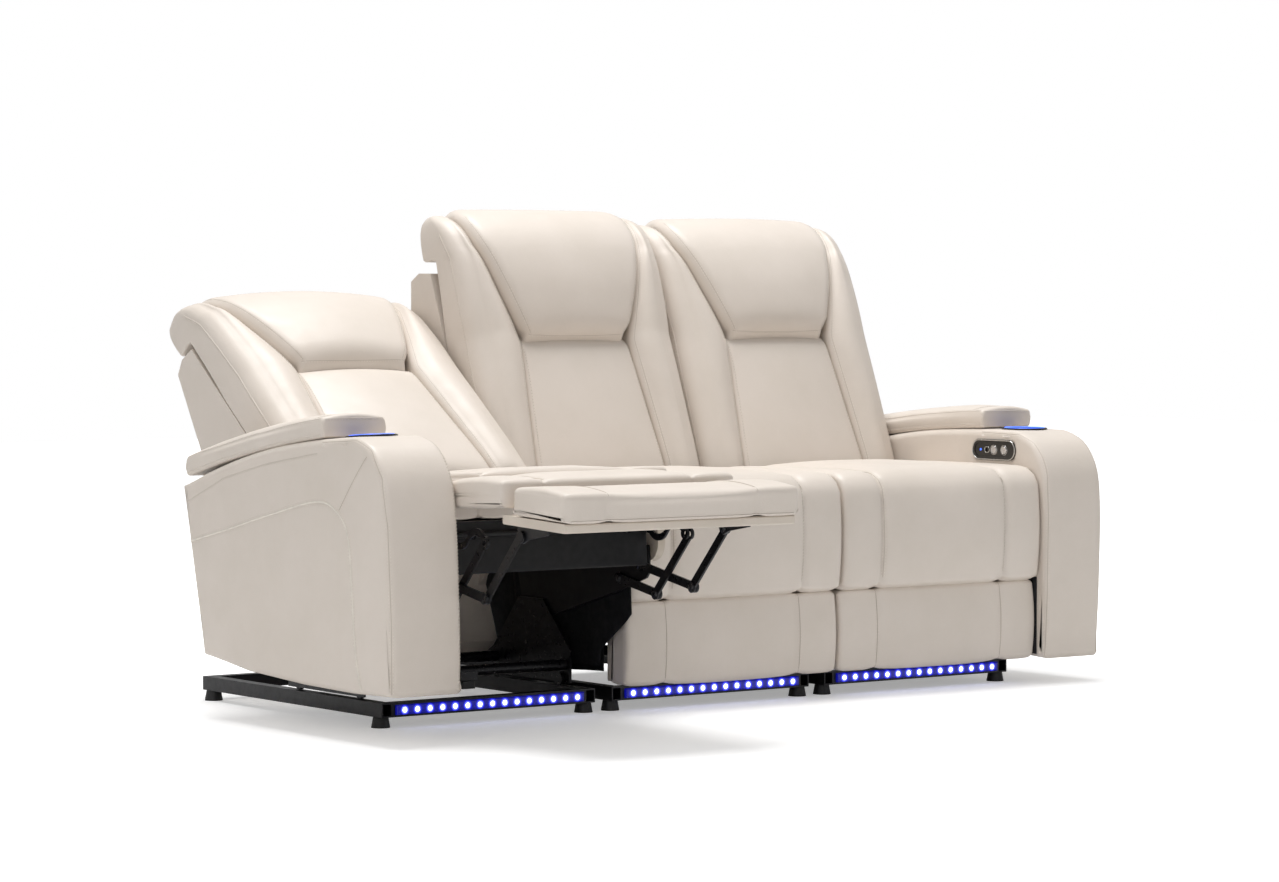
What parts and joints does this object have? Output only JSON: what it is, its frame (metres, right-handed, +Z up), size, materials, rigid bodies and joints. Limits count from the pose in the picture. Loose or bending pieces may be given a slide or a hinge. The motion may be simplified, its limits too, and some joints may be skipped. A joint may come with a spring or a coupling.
{
  "type": "reclining sofa",
  "caption": "Power reclining sofa in light leather, one seat open with its footrest out, with cup holders and lidded storage in the arms and light strips near the floor.",
  "frame": {"origin": "on the floor, in the middle of the whole width and of the whole depth, as pictured with the left seat open", "axes": "+X to the viewer's right along the width, +Y from the footrests towards the back, +Z up; the front faces -Y"},
  "size_m": [2.076, 1.5443, 1.0857],
  "materials": {
    "leather": "soft warm light greige leather with a fine grain",
    "board_cover": "plain beige upholstery cloth on a board",
    "black_steel": "black satin powder coat",
    "foot": "matt black glides",
    "light": "blue light bar with white hot dots",
    "motor": "black housing",
    "cup": "dark cup with a blue lit rim",
    "panel": "bronze grey bezel with a black face",
    "button": "silver push button"
  },
  "bodies": {
    "floor_frame": {"floor_frames": "black_steel", "feet": "foot", "light_strips": "light", "drive_motors": "motor"},
    "left_glide": {"left_glide_carriage": "black_steel"},
    "left_seat": {"left_seat_frame": "black_steel", "left_seat_cushion": "leather", "left_arm_body": "leather", "left_cup_holder": "cup", "left_control_panel": "panel"},
    "left_back": {"left_back_shell": "leather", "left_back_cushion": "leather"},
    "left_head": {"left_headrest": "leather"},
    "left_flap": {"left_footrest_flap": "leather"},
    "left_front_link": {"left_front_links": "black_steel"},
    "left_long_link": {"left_long_links": "black_steel"},
    "left_board": {"left_footrest_board": "board_cover", "left_footrest_pad": "leather"},
    "left_rear_link": {"left_rear_links": "black_steel"},
    "left_cross_link": {"left_cross_links": "black_steel"},
    "left_s_link": {"left_s_links": "black_steel"},
    "centre_glide": {"centre_glide_carriage": "black_steel"},
    "centre_seat": {"centre_seat_frame": "black_steel", "centre_seat_cushion": "leather"},
    "centre_back": {"centre_back_shell": "leather", "centre_back_cushion": "leather"},
    "centre_head": {"centre_headrest": "leather"},
    "centre_flap": {"centre_footrest_flap": "leather"},
    "centre_front_link": {"centre_front_links": "black_steel"},
    "centre_long_link": {"centre_long_links": "black_steel"},
    "centre_board": {"centre_footrest_board": "board_cover", "centre_footrest_pad": "leather"},
    "centre_rear_link": {"centre_rear_links": "black_steel"},
    "centre_cross_link": {"centre_cross_links": "black_steel"},
    "centre_s_link": {"centre_s_links": "black_steel"},
    "right_glide": {"right_glide_carriage": "black_steel"},
    "right_seat": {"right_seat_frame": "black_steel", "right_seat_cushion": "leather", "right_arm_body": "leather", "right_cup_holder": "cup", "right_control_panel": "panel"},
    "right_back": {"right_back_shell": "leather", "right_back_cushion": "leather"},
    "right_head": {"right_headrest": "leather"},
    "right_flap": {"right_footrest_flap": "leather"},
    "right_front_link": {"right_front_links": "black_steel"},
    "right_long_link": {"right_long_links": "black_steel"},
    "right_board": {"right_footrest_board": "board_cover", "right_footrest_pad": "leather"},
    "right_rear_link": {"right_rear_links": "black_steel"},
    "right_cross_link": {"right_cross_links": "black_steel"},
    "right_s_link": {"right_s_links": "black_steel"},
    "left_lid": {"left_arm_lid": "leather"},
    "left_front_button": {"left_front_button": "button"},
    "left_rear_button": {"left_rear_button": "button"},
    "right_lid": {"right_arm_lid": "leather"},
    "right_front_button": {"right_front_button": "button"},
    "right_rear_button": {"right_rear_button": "button"}
  },
  "joints": [
    {"name": "left_glide_slide", "type": "slide", "parent": "floor_frame", "child": "left_glide", "axis": [0, -1, 0], "range_m": [-0.222, 0]},
    {"name": "left_tilt", "type": "hinge", "parent": "left_glide", "child": "left_seat", "pos_m": [-0.58, 0.134, 0.2], "axis": [-1, 0, 0], "range_deg": [-4.5, 0]},
    {"name": "left_recline", "type": "hinge", "parent": "left_seat", "child": "left_back", "pos_m": [-0.58, 0.2336, 0.35667], "axis": [-1, 0, 0], "range_deg": [-27, 0]},
    {"name": "left_headrest_tip", "type": "hinge", "parent": "left_back", "child": "left_head", "pos_m": [-0.58, 0.47399, 0.70485], "axis": [1, 0, 0], "range_deg": [0, 30]},
    {"name": "left_flap_turn", "type": "hinge", "parent": "left_seat", "child": "left_flap", "pos_m": [-0.58, -0.35282, 0.48909], "axis": [-1, 0, 0], "range_deg": [-88, 0]},
    {"name": "left_front_link_turn", "type": "hinge", "parent": "left_seat", "child": "left_front_link", "pos_m": [-0.58, -0.2603, 0.32633], "axis": [-1, 0, 0], "range_deg": [-96.4, 0]},
    {"name": "left_long_link_turn", "type": "hinge", "parent": "left_front_link", "child": "left_long_link", "pos_m": [-0.58, -0.45604, 0.2904], "axis": [-1, 0, 0], "range_deg": [0, 111.18]},
    {"name": "left_board_turn", "type": "hinge", "parent": "left_long_link", "child": "left_board", "pos_m": [-0.58, -0.5718, 0.41719], "axis": [-1, 0, 0], "range_deg": [-97.78, 0]},
    {"name": "left_rear_link_turn", "type": "hinge", "parent": "left_seat", "child": "left_rear_link", "pos_m": [-0.58, -0.19164, 0.29384], "axis": [-1, 0, 0], "range_deg": [-96.4, 0]},
    {"name": "left_cross_link_turn", "type": "hinge", "parent": "left_rear_link", "child": "left_cross_link", "pos_m": [-0.58, -0.32934, 0.26857], "axis": [-1, 0, 0], "range_deg": [0, 111.18]},
    {"name": "left_s_link_turn", "type": "hinge", "parent": "left_seat", "child": "left_s_link", "pos_m": [-0.58, -0.31814, 0.40711], "axis": [-1, 0, 0], "range_deg": [-129.75, 0]},
    {"name": "centre_glide_slide", "type": "slide", "parent": "floor_frame", "child": "centre_glide", "axis": [0, -1, 0], "range_m": [0, 0.222]},
    {"name": "centre_tilt", "type": "hinge", "parent": "centre_glide", "child": "centre_seat", "pos_m": [0, 0.356, 0.2], "axis": [-1, 0, 0], "range_deg": [0, 4.5]},
    {"name": "centre_recline", "type": "hinge", "parent": "centre_seat", "child": "centre_back", "pos_m": [0, 0.443, 0.364], "axis": [-1, 0, 0], "range_deg": [0, 27]},
    {"name": "centre_headrest_tip", "type": "hinge", "parent": "centre_back", "child": "centre_head", "pos_m": [0, 0.46604, 0.78648], "axis": [1, 0, 0], "range_deg": [-6, 24]},
    {"name": "centre_flap_turn", "type": "hinge", "parent": "centre_seat", "child": "centre_flap", "pos_m": [0, -0.152, 0.45], "axis": [-1, 0, 0], "range_deg": [0, 88]},
    {"name": "centre_front_link_turn", "type": "hinge", "parent": "centre_seat", "child": "centre_front_link", "pos_m": [0, -0.047, 0.295], "axis": [-1, 0, 0], "range_deg": [0, 96.4]},
    {"name": "centre_long_link_turn", "type": "hinge", "parent": "centre_front_link", "child": "centre_long_link", "pos_m": [0, 0.02529, 0.10959], "axis": [-1, 0, 0], "range_deg": [-111.18, 0]},
    {"name": "centre_board_turn", "type": "hinge", "parent": "centre_long_link", "child": "centre_board", "pos_m": [0, -0.066, 0.255], "axis": [-1, 0, 0], "range_deg": [0, 97.78]},
    {"name": "centre_rear_link_turn", "type": "hinge", "parent": "centre_seat", "child": "centre_rear_link", "pos_m": [0, 0.024, 0.268], "axis": [-1, 0, 0], "range_deg": [0, 96.4]},
    {"name": "centre_cross_link_turn", "type": "hinge", "parent": "centre_rear_link", "child": "centre_cross_link", "pos_m": [0, 0.07486, 0.13756], "axis": [-1, 0, 0], "range_deg": [-111.18, 0]},
    {"name": "centre_s_link_turn", "type": "hinge", "parent": "centre_seat", "child": "centre_s_link", "pos_m": [0, -0.111, 0.371], "axis": [-1, 0, 0], "range_deg": [0, 129.75]},
    {"name": "right_glide_slide", "type": "slide", "parent": "floor_frame", "child": "right_glide", "axis": [0, -1, 0], "range_m": [0, 0.222]},
    {"name": "right_tilt", "type": "hinge", "parent": "right_glide", "child": "right_seat", "pos_m": [0.58, 0.356, 0.2], "axis": [-1, 0, 0], "range_deg": [0, 4.5]},
    {"name": "right_recline", "type": "hinge", "parent": "right_seat", "child": "right_back", "pos_m": [0.58, 0.443, 0.364], "axis": [-1, 0, 0], "range_deg": [0, 27]},
    {"name": "right_headrest_tip", "type": "hinge", "parent": "right_back", "child": "right_head", "pos_m": [0.58, 0.46604, 0.78648], "axis": [1, 0, 0], "range_deg": [0, 30]},
    {"name": "right_flap_turn", "type": "hinge", "parent": "right_seat", "child": "right_flap", "pos_m": [0.58, -0.152, 0.45], "axis": [-1, 0, 0], "range_deg": [0, 88]},
    {"name": "right_front_link_turn", "type": "hinge", "parent": "right_seat", "child": "right_front_link", "pos_m": [0.58, -0.047, 0.295], "axis": [-1, 0, 0], "range_deg": [0, 96.4]},
    {"name": "right_long_link_turn", "type": "hinge", "parent": "right_front_link", "child": "right_long_link", "pos_m": [0.58, 0.02529, 0.10959], "axis": [-1, 0, 0], "range_deg": [-111.18, 0]},
    {"name": "right_board_turn", "type": "hinge", "parent": "right_long_link", "child": "right_board", "pos_m": [0.58, -0.066, 0.255], "axis": [-1, 0, 0], "range_deg": [0, 97.78]},
    {"name": "right_rear_link_turn", "type": "hinge", "parent": "right_seat", "child": "right_rear_link", "pos_m": [0.58, 0.024, 0.268], "axis": [-1, 0, 0], "range_deg": [0, 96.4]},
    {"name": "right_cross_link_turn", "type": "hinge", "parent": "right_rear_link", "child": "right_cross_link", "pos_m": [0.58, 0.07486, 0.13756], "axis": [-1, 0, 0], "range_deg": [-111.18, 0]},
    {"name": "right_s_link_turn", "type": "hinge", "parent": "right_seat", "child": "right_s_link", "pos_m": [0.58, -0.111, 0.371], "axis": [-1, 0, 0], "range_deg": [0, 129.75]},
    {"name": "left_lid_hinge", "type": "hinge", "parent": "left_seat", "child": "left_lid", "pos_m": [-1.029, -0.16148, 0.60062], "axis": [0, -0.9845, 0.1755], "range_deg": [0, 95]},
    {"name": "left_front_press", "type": "slide", "parent": "left_seat", "child": "left_front_button", "axis": [-1, 0, 0], "range_m": [0, 0.002], "stiffness_N_per_m": 400},
    {"name": "left_rear_press", "type": "slide", "parent": "left_seat", "child": "left_rear_button", "axis": [-1, 0, 0], "range_m": [0, 0.002], "stiffness_N_per_m": 400},
    {"name": "right_lid_hinge", "type": "hinge", "parent": "right_seat", "child": "right_lid", "pos_m": [1.029, 0.03, 0.5762], "axis": [0, 0.9952, -0.0977], "range_deg": [0, 95]},
    {"name": "right_front_press", "type": "slide", "parent": "right_seat", "child": "right_front_button", "axis": [1, 0, 0], "range_m": [0, 0.002], "stiffness_N_per_m": 400},
    {"name": "right_rear_press", "type": "slide", "parent": "right_seat", "child": "right_rear_button", "axis": [1, 0, 0], "range_m": [0, 0.002], "stiffness_N_per_m": 400}
  ],
  "couplings": [
    {"joint": "left_tilt", "follows": "left_glide_slide", "rad_per_m": 0.35378},
    {"joint": "left_recline", "follows": "left_glide_slide", "rad_per_m": 2.1227},
    {"joint": "left_flap_turn", "follows": "left_glide_slide", "rad_per_m": 6.9184},
    {"joint": "left_front_link_turn", "follows": "left_glide_slide", "rad_per_m": 7.5788},
    {"joint": "left_long_link_turn", "follows": "left_glide_slide", "rad_per_m": -8.7407},
    {"joint": "left_board_turn", "follows": "left_glide_slide", "rad_per_m": 7.6872},
    {"joint": "left_rear_link_turn", "follows": "left_glide_slide", "rad_per_m": 7.5788},
    {"joint": "left_cross_link_turn", "follows": "left_glide_slide", "rad_per_m": -8.7407},
    {"joint": "left_s_link_turn", "follows": "left_glide_slide", "rad_per_m": 10.2},
    {"joint": "centre_tilt", "follows": "centre_glide_slide", "rad_per_m": 0.35378},
    {"joint": "centre_recline", "follows": "centre_glide_slide", "rad_per_m": 2.1227},
    {"joint": "centre_flap_turn", "follows": "centre_glide_slide", "rad_per_m": 6.9184},
    {"joint": "centre_front_link_turn", "follows": "centre_glide_slide", "rad_per_m": 7.5788},
    {"joint": "centre_long_link_turn", "follows": "centre_glide_slide", "rad_per_m": -8.7407},
    {"joint": "centre_board_turn", "follows": "centre_glide_slide", "rad_per_m": 7.6872},
    {"joint": "centre_rear_link_turn", "follows": "centre_glide_slide", "rad_per_m": 7.5788},
    {"joint": "centre_cross_link_turn", "follows": "centre_glide_slide", "rad_per_m": -8.7407},
    {"joint": "centre_s_link_turn", "follows": "centre_glide_slide", "rad_per_m": 10.2},
    {"joint": "right_tilt", "follows": "right_glide_slide", "rad_per_m": 0.35378},
    {"joint": "right_recline", "follows": "right_glide_slide", "rad_per_m": 2.1227},
    {"joint": "right_flap_turn", "follows": "right_glide_slide", "rad_per_m": 6.9184},
    {"joint": "right_front_link_turn", "follows": "right_glide_slide", "rad_per_m": 7.5788},
    {"joint": "right_long_link_turn", "follows": "right_glide_slide", "rad_per_m": -8.7407},
    {"joint": "right_board_turn", "follows": "right_glide_slide", "rad_per_m": 7.6872},
    {"joint": "right_rear_link_turn", "follows": "right_glide_slide", "rad_per_m": 7.5788},
    {"joint": "right_cross_link_turn", "follows": "right_glide_slide", "rad_per_m": -8.7407},
    {"joint": "right_s_link_turn", "follows": "right_glide_slide", "rad_per_m": 10.2}
  ]
}
